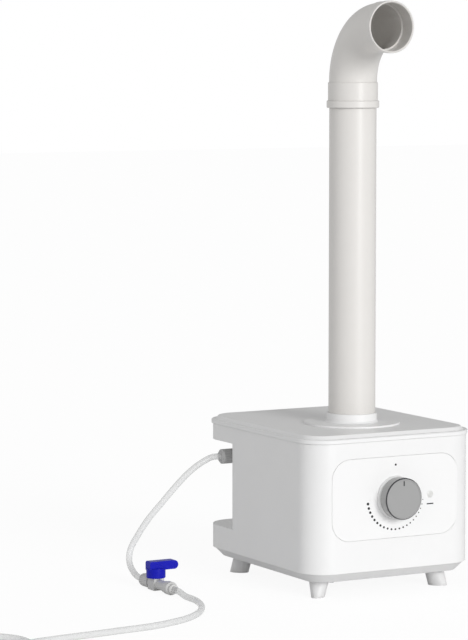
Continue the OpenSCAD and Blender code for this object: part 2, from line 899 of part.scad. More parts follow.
module blower_impeller() color(grey) framed() translate([blower_x, blower_y, blower_z])
  rotate([0, 90, 0]) {
  difference() {
    union() {
      translate([0, 0, blower_w - 6])
      cylinder(r = impeller_r, h = 1.6);
      translate([0, 0, blower_w - 20])
      cylinder(r = 7, h = 15);
      for (a = [0 : 22.5 : 337.5])
        rotate([0, 0, a])
        translate([impeller_r - 11, 0, 6])
        rotate([0, 0, 28])
        translate([0, -0.7, 0])
        cube([11, 1.4, blower_w - 11.5]);
      difference() {
        translate([0, 0, 5])
        cylinder(r = impeller_r, h = 1.4);
        translate([0, 0, 4])
        cylinder(r = impeller_r - 12, h = 4);
      }
    }
    translate([0, 0, blower_w - 21])
    cylinder(r = 2 + running, h = 30);
  }
}

module blower_motor() color(steel) framed() {
  along_x(blower_x + blower_w - 18, blower_y, blower_z, 2, 20);
  along_x(blower_x + blower_w, blower_y, blower_z, 16, 16);
  along_x(blower_x + blower_w, blower_y, blower_z, 18, 4);
}

module air_duct() color(dark) framed() {
  difference() {
    block(tank_right, blower_y - 20, vent_z, blower_x + blower_w - tank_right, 40, vent_h);
    block(tank_right - 1, blower_y - 17.5, vent_z + 2.5,
          blower_x + blower_w - tank_right - 1.5, 35, vent_h - 5);
    block(blower_x + 2.5, blower_y - 17.5, vent_z - 1, blower_w - 5, 35, 5);
  }
}

psu_x = tank_right + 6;
psu_y = recess_y - wall - 90;
psu_w = half_w - pan_inset - wall - 4 - psu_x;

module power_supply() color(steel) framed() {
  difference() {
    block(psu_x, psu_y, pan_z + wall, psu_w, 80, 46);
    for (y = [10 : 8 : 66])
      block(psu_x + psu_w - 6, psu_y + y, pan_z + wall + 8, 8, 3, 30);
  }
  for (x = [6, psu_w - 6], y = [6, 74])
    translate([psu_x + x, psu_y + y, pan_z + wall + 45])
    cylinder(r = 3, h = 13);
}

module driver_board() color(green) framed() {
  z = pan_z + wall + 58;
  block(psu_x, psu_y, z, psu_w, 80, 1.6);
  block(psu_x + 8, psu_y + 14, z + 1.4, 14, 50, 16);
  for (y = [20, 36, 52])
    translate([psu_x + psu_w - 14, psu_y + y, z + 1.4])
    cylinder(r = 6, h = 14);
}

mains_x = half_w - 62;
mains_z = shell_z + 112;

module mains_inlet() color(dark) framed() {
  difference() {
    union() {
      translate([mains_x, recess_y + 3, mains_z])
      rotate([90, 0, 0])
      linear_extrude(3)
      plate2d(50, 26, 4);
      block(mains_x - 14, recess_y - 20, mains_z - 10, 28, 21, 20);
    }
    block(mains_x - 12, recess_y - 14, mains_z - 8, 24, 20, 16);
    for (s = [-1, 1])
      along_y(mains_x + s * 20, recess_y - 1, mains_z, 1.7, 6);
  }
  for (p = [[-7, 2], [0, -2], [7, 2]])
    block(mains_x + p[0] - 1, recess_y - 14.5, mains_z + p[1] - 2, 2, 9, 4);
}

module mains_inlet_screws() color(steel) framed() {
  for (s = [-1, 1]) {
    along_y(mains_x + s * 20, recess_y - 6, mains_z, 1.6, 9);
    along_y(mains_x + s * 20, recess_y + 3, mains_z, 3.2, 1.6);
  }
}

module inlet_washer() color(rubber_grey) framed() {
  difference() {
    along_y(inlet_x, recess_y, inlet_z, 12, 2);
    along_y(inlet_x, recess_y - 1, inlet_z, stem_r + 0.1, 4);
  }
}

module inlet_lock_nut() color(ivory) framed() {
  translate([inlet_x, recess_y + 2, inlet_z])
  rotate([-90, 0, 0])
  difference() {
    cylinder(r = 12.5, h = 5.5, $fn = 6);
    translate([0, 0, -1])
    cylinder(r = stem_r + 0.05, h = 8);
  }
}

module inlet_elbow() color(ivory) framed() {
  difference() {
    union() {
      along_y(inlet_x, recess_y + 7.5, inlet_z, 9, elbow_leg - 7.5);
      translate([inlet_x, inlet_y, inlet_z])
      sphere(r = 9);
      along_x(inlet_x - 20, inlet_y, inlet_z, 8, 20);
    }
    along_y(inlet_x, recess_y + 6, inlet_z, stem_r + 0.05, elbow_leg - 12);
    along_y(inlet_x, recess_y + 6, inlet_z, 3, elbow_leg - 6);
    along_x(inlet_x - 21, inlet_y, inlet_z, 3, 21);
  }
}

nut_length = inlet_x - 16 - nut_end_x;

module inlet_nut() color(grey) framed() {
  translate([nut_end_x, inlet_y, inlet_z])
  rotate([0, 90, 0])
  difference() {
    rotate_extrude()
    polygon([[0, 0], [nut_radius - 3.5, 0], [nut_radius, 3], [nut_radius, nut_length - 1],
             [nut_radius - 1, nut_length], [0, nut_length]]);
    for (a = [0 : 20 : 340])
      rotate([0, 0, a])
      translate([nut_radius + 0.6, 0, 5])
      cylinder(r = 1.2, h = nut_length, $fn = 16);
    translate([0, 0, nut_length - 4.5])
    cylinder(r = 8.1, h = 6);
  }
}

drain_x = -20;
drain_z = shell_z + 17;
drain_r = 7;

module drain_pipe() color(white) framed() {
  difference() {
    union() {
      along_y(drain_x, tank_back - wall - 3, drain_z, 10, 3);
      along_y(drain_x, tank_back - wall - 3, drain_z, drain_r, half_d - tank_back + wall + 3);
      along_y(drain_x, half_d - wall - 3, drain_z, 10, 3);
    }
    along_y(drain_x, tank_back - wall - 4, drain_z, 5.4, half_d);
  }
}

module drain_plug() color(rubber_grey) framed() {
  along_y(drain_x, half_d - 12, drain_z, 5.35, 12.1);
  difference() {
    along_y(drain_x, half_d + 0.02, drain_z, 10, 2.2);
    block(drain_x - 5, half_d + 1.2, drain_z - 8, 10, 2, 3);
    block(drain_x - 5, half_d + 1.2, drain_z + 5, 10, 2, 3);
  }
}

module intake_grille() color(white) framed() translate([grille_x, grille_y, 0]) {
  difference() {
    union() {
      translate([0, 0, pan_z + wall])
      cylinder(r = 28, h = 1.6);
      translate([0, 0, pan_z])
      cylinder(r = 24.8, h = wall + 0.5);
    }
    for (i = [-3 : 3])
      let (l = 2 * sqrt(22 * 22 - 36 * i * i))
      block(6 * i - 1.6, -l / 2, pan_z - 1, 3.2, l, 8);
  }
}

ball_r = 6;
valve_stem_r = 4;
hub_r = 15.4;
hub_z = valve_top + 0.6;
lever_z = hub_z + 12.5;

module valve_body() color(ivory) framed() {
  difference() {
    union() {
      block(valve_x - 9, valve_y - 11, 0.8, 18, 22, valve_top - 0.8);
      along_y(valve_x, 12, valve_z, 8, valve_in_y - 30);
    }
    translate([valve_x, valve_y, valve_z])
    sphere(r = ball_r + 0.3);
    along_y(valve_x, 0, valve_z, 3.5, valve_in_y);
    translate([valve_x, valve_y, valve_z])
    cylinder(r = valve_stem_r + running, h = 30);
  }
}

module valve_stem() color(brass) framed() translate([valve_x, valve_y, 0]) {
  difference() {
    union() {
      translate([0, 0, valve_z])
      sphere(r = ball_r);
      translate([0, 0, valve_z])
      cylinder(r = valve_stem_r, h = lever_z + 4 - valve_z);
    }
    // closed: the ball's bore stands across the tube
    along_x(-10, 0, valve_z, 3.5, 20);
  }
}

module valve_handle() color(blue) framed() translate([valve_x, valve_y, 0]) {
  tip_r = lever_thick / 2;
  difference() {
    union() {
      // round hub over the valve
      translate([0, 0, hub_z])
      rotate_extrude()
      polygon([[0, 0], [hub_r - 0.6, 0], [hub_r, 0.6], [hub_r, lever_z - hub_z + 3],
               [0, lever_z - hub_z + 3]]);
      // upright paddle with a rounded tip
      translate([0, 8, 0])
      rotate([90, 0, 0])
      linear_extrude(16) {
        translate([-hub_r + 4, lever_z])
        square([hub_r - 4 + lever_length - tip_r, lever_thick]);
        translate([-hub_r + 1, lever_z])
        square([4, lever_thick - 3]);
        translate([-hub_r + 4, lever_z + lever_thick - 3])
        circle(3);
        translate([lever_length - tip_r, lever_z + tip_r])
        circle(tip_r);
      }
    }
    translate([0, 0, hub_z - 1])
    cylinder(r = valve_stem_r + running, h = lever_z + 4.05 - hub_z + 1);
  }
}

module valve_inlet_nut() color(ivory) framed() {
  r = valve_nut_r;
  translate([valve_x, valve_in_y, valve_z])
  rotate([90, 0, 0])
  difference() {
    rotate_extrude()
    polygon([[0, 0], [r - 3.5, 0], [r - 0.5, 3], [r, 6], [r, 26], [r - 1, 28], [0, 28]]);
    for (a = [10 : 20 : 350])
      rotate([0, 0, a])
      translate([r + 0.7, 0, 8])
      cylinder(r = 1.1, h = 17, $fn = 16);
    translate([0, 0, 11])
    cylinder(r = 8.1, h = 20);
  }
}

module valve_outlet_nut() color(white) framed() {
  r = valve_nut_r;
  translate([valve_x, valve_out_y, valve_z])
  rotate([-90, 0, 0])
  difference() {
    rotate_extrude()
    polygon([[0, 0], [tube_r + 2, 0], [tube_r + 3, 1], [tube_r + 3, 6], [r - 1, 7], [r, 8.5],
             [r, 20], [r - 1.2, 22], [r - 1.2, 28], [0, 28]]);
    translate([0, 0, 26])
    cylinder(r = 8.1, h = 10);
  }
}

module supply_tube_upper() color(clear) framed() {
  hose(smooth(upper_points, 2), tube_r);
}

module supply_tube_lower() color(clear) framed() {
  hose(smooth(lower_points, 2), tube_r);
}

module supply_tube_tail() color(clear) framed() {
  hose(smooth(tail_points, 2), tube_r);
}

module supply_tube_coil() color(clear) framed() {
  translate([coil_x, coil_y, tube_r])
  rotate_extrude() {
    translate([coil_r, 0])
    circle(tube_r);
    translate([coil_r, coil_turns * coil_pitch])
    circle(tube_r);
    translate([coil_r - tube_r, 0])
    square([2 * tube_r, coil_turns * coil_pitch]);
  }
}

module tap_adapter() color(grey) framed() {
  translate([adapter_x, coil_y - coil_r, adapter_r])
  rotate([0, 90, 0])
  difference() {
    rotate_extrude()
    polygon([[0, 0], [tube_r + 2, 0], [tube_r + 3, 1], [tube_r + 3, 14], [adapter_r - 1, 17],
             [adapter_r, 18], [adapter_r, 38], [adapter_r - 1, 39], [0, 39]]);
    translate([0, 0, 23])
    cylinder(r = 10.5, h = 20);
    for (a = [0 : 30 : 330])
      rotate([0, 0, a])
      translate([adapter_r + 0.8, 0, 19])
      cylinder(r = 1.4, h = 30, $fn = 16);
  }
}

housing_shell();
rear_panel();
base_pan();
base_screws();
foot_front_left();
foot_front_right();
foot_rear_left();
foot_rear_right();
foot_pads();
foot_screws();
lid();
lid_seal();
duct_flange();
duct_flange_nut();
duct_pipe();
elbow();
front_panel();
dial_marks();
dial_collar();
control_knob();
knob_pointer();
potentiometer_body();
potentiometer_shaft();
potentiometer_nut();
led_lens();
control_board();
water_tank();
transducer_housing();
transducer_rings();
transducer_discs();
float_valve_body();
float_arm();
float_ball();
float_pin();
float_plunger();
blower_housing();
blower_impeller();
blower_motor();
air_duct();
power_supply();
driver_board();
mains_inlet();
mains_inlet_screws();
inlet_washer();
inlet_lock_nut();
inlet_elbow();
inlet_nut();
drain_pipe();
drain_plug();
intake_grille();
valve_body();
valve_stem();
valve_handle();
valve_inlet_nut();
valve_outlet_nut();
supply_tube_upper();
supply_tube_lower();
supply_tube_coil();
supply_tube_tail();
tap_adapter();
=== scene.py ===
import json
import math

import bmesh
import bpy
from bpy.props import FloatProperty, FloatVectorProperty, PointerProperty
from bpy.types import Operator, Panel, PropertyGroup
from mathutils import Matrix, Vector


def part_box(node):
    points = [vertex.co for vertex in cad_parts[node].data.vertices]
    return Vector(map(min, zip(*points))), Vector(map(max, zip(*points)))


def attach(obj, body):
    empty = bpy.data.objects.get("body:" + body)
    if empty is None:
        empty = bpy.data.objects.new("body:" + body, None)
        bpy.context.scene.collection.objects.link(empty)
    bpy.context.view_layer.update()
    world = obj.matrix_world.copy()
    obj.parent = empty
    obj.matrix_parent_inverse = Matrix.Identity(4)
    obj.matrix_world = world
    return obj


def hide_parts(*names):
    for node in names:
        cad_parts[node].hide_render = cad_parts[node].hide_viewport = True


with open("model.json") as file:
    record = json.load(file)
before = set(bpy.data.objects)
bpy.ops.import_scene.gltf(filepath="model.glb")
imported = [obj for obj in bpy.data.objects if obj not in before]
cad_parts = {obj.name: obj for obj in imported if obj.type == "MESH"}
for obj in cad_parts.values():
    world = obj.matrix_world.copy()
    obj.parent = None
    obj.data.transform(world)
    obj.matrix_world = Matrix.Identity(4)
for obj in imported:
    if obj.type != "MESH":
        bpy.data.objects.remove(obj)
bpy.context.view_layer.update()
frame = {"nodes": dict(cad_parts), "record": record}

bl_info = {
    "name": "Mist Cabinet Builder",
    "version": (1, 0, 0),
    "blender": (4, 5, 0),
    "location": "View3D > Sidebar > Mist Cabinet",
    "description": "Dresses a cool mist humidifier and lays out its water supply hose",
    "category": "Object",
}

nodes = frame["nodes"]

# The cabinet's centre stands this far behind the row's origin.
shell_low, shell_high = (Vector(corner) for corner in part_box("housing_shell"))
CABINET_Y = (shell_low.y + shell_high.y) / 2


# ---------------------------------------------------------------- settings


class SupplySettings(PropertyGroup):
    """Sizes of the water supply hose."""

    hose: FloatProperty(
        name="Hose Diameter", description="Outside diameter of the supply hose",
        default=0.010, min=0.006, max=0.016, unit="LENGTH")
    coil: FloatProperty(
        name="Coil Radius", description="Radius of the stored coil at the middle of its turns",
        default=0.052, min=0.04, max=0.09, unit="LENGTH")
    strap_width: FloatProperty(
        name="Strap Width", description="Width of the strap round the coil",
        default=0.016, min=0.008, max=0.03, unit="LENGTH")
    strap_wall: FloatProperty(
        name="Strap Thickness", description="Thickness of the strap round the coil",
        default=0.0011, min=0.0005, max=0.003, unit="LENGTH")
    turns: FloatProperty(
        name="Coil Turns", description="Turns in the stored coil", default=2.5, min=0.5, max=6)
    tint: FloatVectorProperty(
        name="Hose Tint", description="Colour of the milky hose", subtype="COLOR",
        default=(0.80, 0.805, 0.805), min=0, max=1)


class CabinetSettings(PropertyGroup):
    """Colours of the cabinet and its controls."""

    shell: FloatVectorProperty(
        name="Cabinet White", description="Moulded cabinet plastic", subtype="COLOR",
        default=(0.86, 0.86, 0.86), min=0, max=1)
    base_tone: FloatProperty(
        name="Base Tone", description="Brightness of the pan and feet against the cabinet",
        default=0.89, min=0, max=1, subtype="FACTOR")
    duct: FloatVectorProperty(
        name="Duct White", description="Slightly warm duct plastic", subtype="COLOR",
        default=(0.765, 0.745, 0.72), min=0, max=1)
    knob: FloatVectorProperty(
        name="Knob Grey", description="Satin lacquer on the knob", subtype="COLOR",
        default=(0.345, 0.345, 0.345), min=0, max=1)
    lever: FloatVectorProperty(
        name="Lever Blue", description="Moulded shut-off lever", subtype="COLOR",
        default=(0.004, 0.006, 0.42), min=0, max=1)


class StudioSettings(PropertyGroup):
    """Light and floor of the studio."""

    key: FloatProperty(
        name="Key Light", description="Strength of the low soft light in front",
        default=1.8, min=0, max=20)
    softness: FloatProperty(
        name="Softness", description="Width of the key light as seen from the cabinet",
        default=math.radians(24), min=0, max=math.pi, subtype="ANGLE")
    horizon: FloatProperty(
        name="Horizon", description="Strength of the white surround at eye level",
        default=0.62, min=0, max=3)
    zenith: FloatProperty(
        name="Zenith", description="Strength of the white surround overhead",
        default=0.40, min=0, max=3)
    shade: FloatProperty(
        name="Shaded Side", description="How much weaker the surround is on the right than in the middle",
        default=0.30, min=0, max=1, subtype="FACTOR")
    wash: FloatProperty(
        name="Floor Wash", description="How far the floor is washed out to white",
        default=0.85, min=0, max=1, subtype="FACTOR")


# ---------------------------------------------------------------- stage and surfaces

# Camera and its target, in metres, and its lens in millimetres.
CAMERA_PLACE = (-2.45597, -4.12537, 0.85998)
CAMERA_TARGET = (-0.14692, 0.09219, 0.42070)
CAMERA_LENS = 168.7

# Floor: its width, its middle, its paint, its own faint glow, and the white that it is washed out to.
FLOOR_WIDTH = 24
FLOOR_MIDDLE = (0, 6, 0)
FLOOR_PAINT = (0.80, 0.80, 0.80, 1)
FLOOR_GLOW = 0.06
FLOOR_WASH = 1.06

WHITE = (1, 1, 1, 1)

# Turn and rise of the key light.
KEY_TURN = math.radians(6)
KEY_RISE = math.radians(14)

# Knob: width of the painted shade ring round its face, and how deep it reaches.
SHADE_RING_WIDTH = 0.0017
SHADE_RING_DEPTH = 0.0016

# Colour of settled dust, also used as painted shade in inner corners.
DUST_AND_SHADE_COLOUR = (0.44, 0.42, 0.39, 1)

# How much dust and scratches roughen a surface, how deep scratches cut, and the relief's height.
DUST_DULLS = 0.35
SCRATCH_DULLS = 0.12
SCRATCH_CUT = 0.5
RELIEF = 0.0004


# ---------------------------------------------------------------- route of the hose

# From the inlet fitting down to the shut-off valve, in millimetres round the cabinet's centre.
UPPER_ROUTE = [
    (-153.5, 116, 195.1), (-168.5, 116, 195.1), (-189.5, 119, 185.1), (-210.5, 123, 169.1),
    (-231, 129, 147), (-251, 135, 123), (-271, 142, 98), (-288, 149, 70), (-299, 152, 48),
    (-304, 145, 29), (-305, 130, 17), (-306, 112, 11.5), (-306, 92, 10.5)]

# From the valve over the floor to the coil.
LOWER_ROUTE = [
    (-306, -14, 10.5), (-306, -30, 10), (-306, -54, 6), (-305, -82, 5), (-315, -120, 5),
    (-332, -154, 5), (-357, -186, 5), (-395, -215, 5), (-454, -238, 5), (-508, -245, 5),
    (-558, -251, 5), (-610, -256, 5), (-660, -263, 5), (-710, -276, 5), (-740, -283, 5)]

# From the top of the coil down to the tap adapter.
TAIL_ROUTE = [(-745, -389, 30), (-728, -389, 27), (-710, -389, 20), (-692, -389, 13), (-676, -389, 13)]

COIL_CENTRE = (-760, -337)

# Rise of the coil with each turn, in hose diameters.
COIL_LIFT = 1.02

# Strap round the coil: its foot, its top in hose diameters, its gap beside the turns, its corners.
CLEAR_OF_FLOOR = 0.0013
STRAP_TOP = 3.45
STRAP_GAP = 0.0007
STRAP_CORNER = 0.0048


def placed(point):
    """Millimetres round the cabinet's centre to metres in the row's frame."""
    x, y, z = point
    return Vector((x / 1000, y / 1000 + CABINET_Y, z / 1000))


def coil_points(settings, per_turn=16):
    """Centre line of the stored coil, rising so that each turn lies on the one below."""
    pitch = COIL_LIFT * settings.hose
    steps = int(round(settings.turns * per_turn))
    middle = placed((*COIL_CENTRE, 0))
    points = []
    for step in range(steps + 1):
        angle = math.radians(90) + math.tau * settings.turns * step / steps
        rise = settings.hose / 2 + pitch * settings.turns * step / steps
        points.append(middle + Vector((math.cos(angle), math.sin(angle), 0)) * settings.coil
                      + Vector((0, 0, rise)))
    return points


def hose_along(name, points, radius):
    """A round hose swept along the points, as a mesh."""
    data = bpy.data.curves.new(name, "CURVE")
    data.dimensions = "3D"
    data.resolution_u = 5
    data.bevel_depth = radius
    data.bevel_resolution = 8
    data.use_fill_caps = True
    spline = data.splines.new("BEZIER")
    spline.bezier_points.add(len(points) - 1)
    for knot, point in zip(spline.bezier_points, points):
        knot.co = point
        knot.handle_left_type = knot.handle_right_type = "AUTO"
    obj = bpy.data.objects.new(name, data)
    bpy.context.collection.objects.link(obj)
    start_clean()
    obj.select_set(True)
    bpy.context.view_layer.objects.active = obj
    bpy.ops.object.convert(target="MESH")
    hose = bpy.context.object
    bpy.ops.object.shade_smooth_by_angle(angle=math.radians(50))
    return hose


def rounded_route(points, steps):
    """The route in metres, with extra points on a smooth line through those given."""
    last = len(points) - 1
    route = []
    for i in range(last):
        a, b, c, d = (Vector(points[min(max(i + k, 0), last)]) for k in (-1, 0, 1, 2))
        for step in range(steps):
            t = step / steps
            route.append(0.5 * (2 * b + (c - a) * t + (2 * a - 5 * b + 4 * c - d) * t ** 2
                                + (3 * b - a - 3 * c + d) * t ** 3))
    route.append(Vector(points[last]))
    return [placed(point) for point in route]


# ---------------------------------------------------------------- shader groups


def add_node(tree, kind, **values):
    """A shader node whose settings or inputs take the values by name."""
    node = tree.nodes.new(kind)
    for name, value in values.items():
        if hasattr(node, name):
            setattr(node, name, value)
        else:
            node.inputs[name.replace("_", " ")].default_value = value
    return node


def math_node(tree, operation, first, second=None, clamp=False):
    """A Math node; each operand is a number or a socket."""
    node = tree.nodes.new("ShaderNodeMath")
    node.operation = operation
    node.use_clamp = clamp
    for slot, operand in zip(node.inputs, (first, second)):
        if operand is None:
            continue
        if isinstance(operand, (int, float)):
            slot.default_value = operand
        else:
            tree.links.new(operand, slot)
    return node.outputs[0]


def bright_rays(tree):
    """One for camera rays and for rays through clear plastic, which see the washed-out stage."""
    ray = tree.nodes.new("ShaderNodeLightPath")
    return math_node(tree, "MAXIMUM", ray.outputs["Is Camera Ray"], ray.outputs["Is Transmission Ray"])


def start_group(name, inputs, outputs):
    """An empty shader group with float inputs and the outputs asked for."""
    group = bpy.data.node_groups.new(name, "ShaderNodeTree")
    for label, default in inputs:
        socket = group.interface.new_socket(name=label, in_out="INPUT", socket_type="NodeSocketFloat")
        socket.default_value = default
    for label, kind in outputs:
        group.interface.new_socket(name=label, in_out="OUTPUT", socket_type="NodeSocket" + kind)
    return group, group.nodes.new("NodeGroupInput"), group.nodes.new("NodeGroupOutput")


def stretched_coordinates(tree, stretch=(1, 1, 1)):
    """Object coordinates, stretched along the axes where a stretch is given."""
    place = tree.nodes.new("ShaderNodeTexCoord")
    mapping = tree.nodes.new("ShaderNodeMapping")
    mapping.inputs["Scale"].default_value = stretch
    tree.links.new(place.outputs["Object"], mapping.inputs["Vector"])
    return mapping.outputs[0]


def noise_value(tree, vector, scale, detail=3.0, roughness=0.55):
    """Grey noise at a scale that is a number or a socket."""
    noise = tree.nodes.new("ShaderNodeTexNoise")
    noise.inputs["Detail"].default_value = detail
    noise.inputs["Roughness"].default_value = roughness
    tree.links.new(vector, noise.inputs["Vector"])
    if isinstance(scale, (int, float)):
        noise.inputs["Scale"].default_value = scale
    else:
        tree.links.new(scale, noise.inputs["Scale"])
    return noise.outputs["Fac"]


def moulded_grain_group():
    """Fine spark-eroded grain with a broad, faint unevenness."""
    group, inside, outside = start_group(
        "Moulded Grain", [("Grain Scale", 1400.0), ("Flow Scale", 9.0)],
        [("Height", "Float"), ("Mottle", "Float")])
    place = stretched_coordinates(group)
    fine = noise_value(group, place, inside.outputs["Grain Scale"], 2.0)
    flow = noise_value(group, place, inside.outputs["Flow Scale"], 4.0, 0.6)
    group.links.new(fine, outside.inputs["Height"])
    group.links.new(flow, outside.inputs["Mottle"])
    return group


def drawn_lines_group(name, stretch):
    """Long faint lines left by a die, a brush or a belt."""
    group, inside, outside = start_group(name, [("Line Scale", 1.0)], [("Height", "Float")])
    place = stretched_coordinates(group, stretch)
    lines = noise_value(group, place, inside.outputs["Line Scale"], 4.0, 0.7)
    group.links.new(lines, outside.inputs["Height"])
    return group


def soft_edge_group():
    """Rounded-off edges: a softened normal, and a mask that is one on the edge, which paints a highlight
    there.
    """
    group, inside, outside = start_group(
        "Soft Edge", [("Radius", 0.0008)], [("Normal", "Vector"), ("Edge", "Float")])
    rounded = group.nodes.new("ShaderNodeBevel")
    rounded.samples = 4
    group.links.new(inside.outputs["Radius"], rounded.inputs["Radius"])
    flat = group.nodes.new("ShaderNodeNewGeometry")
    dot = group.nodes.new("ShaderNodeVectorMath")
    dot.operation = "DOT_PRODUCT"
    group.links.new(rounded.outputs[0], dot.inputs[0])
    group.links.new(flat.outputs["True Normal"], dot.inputs[1])
    turned = math_node(group, "SUBTRACT", 1.0, dot.outputs["Value"])
    edge = math_node(group, "MULTIPLY", turned, 3.0, clamp=True)
    group.links.new(edge, outside.inputs["Edge"])
    group.links.new(rounded.outputs[0], outside.inputs["Normal"])
    return group


def handling_group():
    """Patches of handling and rare hairline scratches."""
    group, inside, outside = start_group(
        "Handling", [("Patch Scale", 22.0), ("Scratch Scale", 60.0)],
        [("Patches", "Float"), ("Scratches", "Float")])
    place = stretched_coordinates(group)
    patches = noise_value(group, place, inside.outputs["Patch Scale"], 5.0, 0.65)
    cells = group.nodes.new("ShaderNodeTexVoronoi")
    cells.feature = "DISTANCE_TO_EDGE"
    bend = noise_value(group, place, 14.0, 3.0)
    warp = group.nodes.new("ShaderNodeMix")
    warp.data_type = "VECTOR"
    warp.inputs["Factor"].default_value = 0.06
    group.links.new(place, warp.inputs["A"])
    group.links.new(bend, warp.inputs["B"])
    group.links.new(warp.outputs["Result"], cells.inputs["Vector"])
    group.links.new(inside.outputs["Scratch Scale"], cells.inputs["Scale"])
    hairline = math_node(group, "LESS_THAN", cells.outputs["Distance"], 0.006)
    rare = math_node(group, "GREATER_THAN", patches, 0.60)
    scratches = math_node(group, "MULTIPLY", hairline, rare)
    group.links.new(patches, outside.inputs["Patches"])
    group.links.new(scratches, outside.inputs["Scratches"])
    return group


def dust_group():
    """Dust that settles on what faces up, and painted shade that darkens inner corners."""
    group, inside, outside = start_group(
        "Settled Dust And Corner Shade", [("Amount", 0.3), ("Reach", 0.012)], [("Dust And Shade", "Float")])
    flat = group.nodes.new("ShaderNodeNewGeometry")
    split = group.nodes.new("ShaderNodeSeparateXYZ")
    group.links.new(flat.outputs["Normal"], split.inputs[0])
    upward = math_node(group, "POWER", math_node(group, "MAXIMUM", split.outputs["Z"], 0.0), 3.0)
    corner = group.nodes.new("ShaderNodeAmbientOcclusion")
    corner.samples = 4
    group.links.new(inside.outputs["Reach"], corner.inputs["Distance"])
    # painted shade: one minus occlusion marks inner corners, which are then darkened with the dust colour
    shut = math_node(group, "SUBTRACT", 1.0, corner.outputs["AO"])
    settled_and_shaded = math_node(group, "MAXIMUM", math_node(group, "MULTIPLY", upward, 0.35), shut)
    place = stretched_coordinates(group)
    speckle = noise_value(group, place, 260.0, 6.0, 0.7)
    dust = math_node(group, "MULTIPLY", settled_and_shaded, speckle)
    dust = math_node(group, "MULTIPLY", dust, inside.outputs["Amount"], clamp=True)
    group.links.new(dust, outside.inputs["Dust And Shade"])
    return group


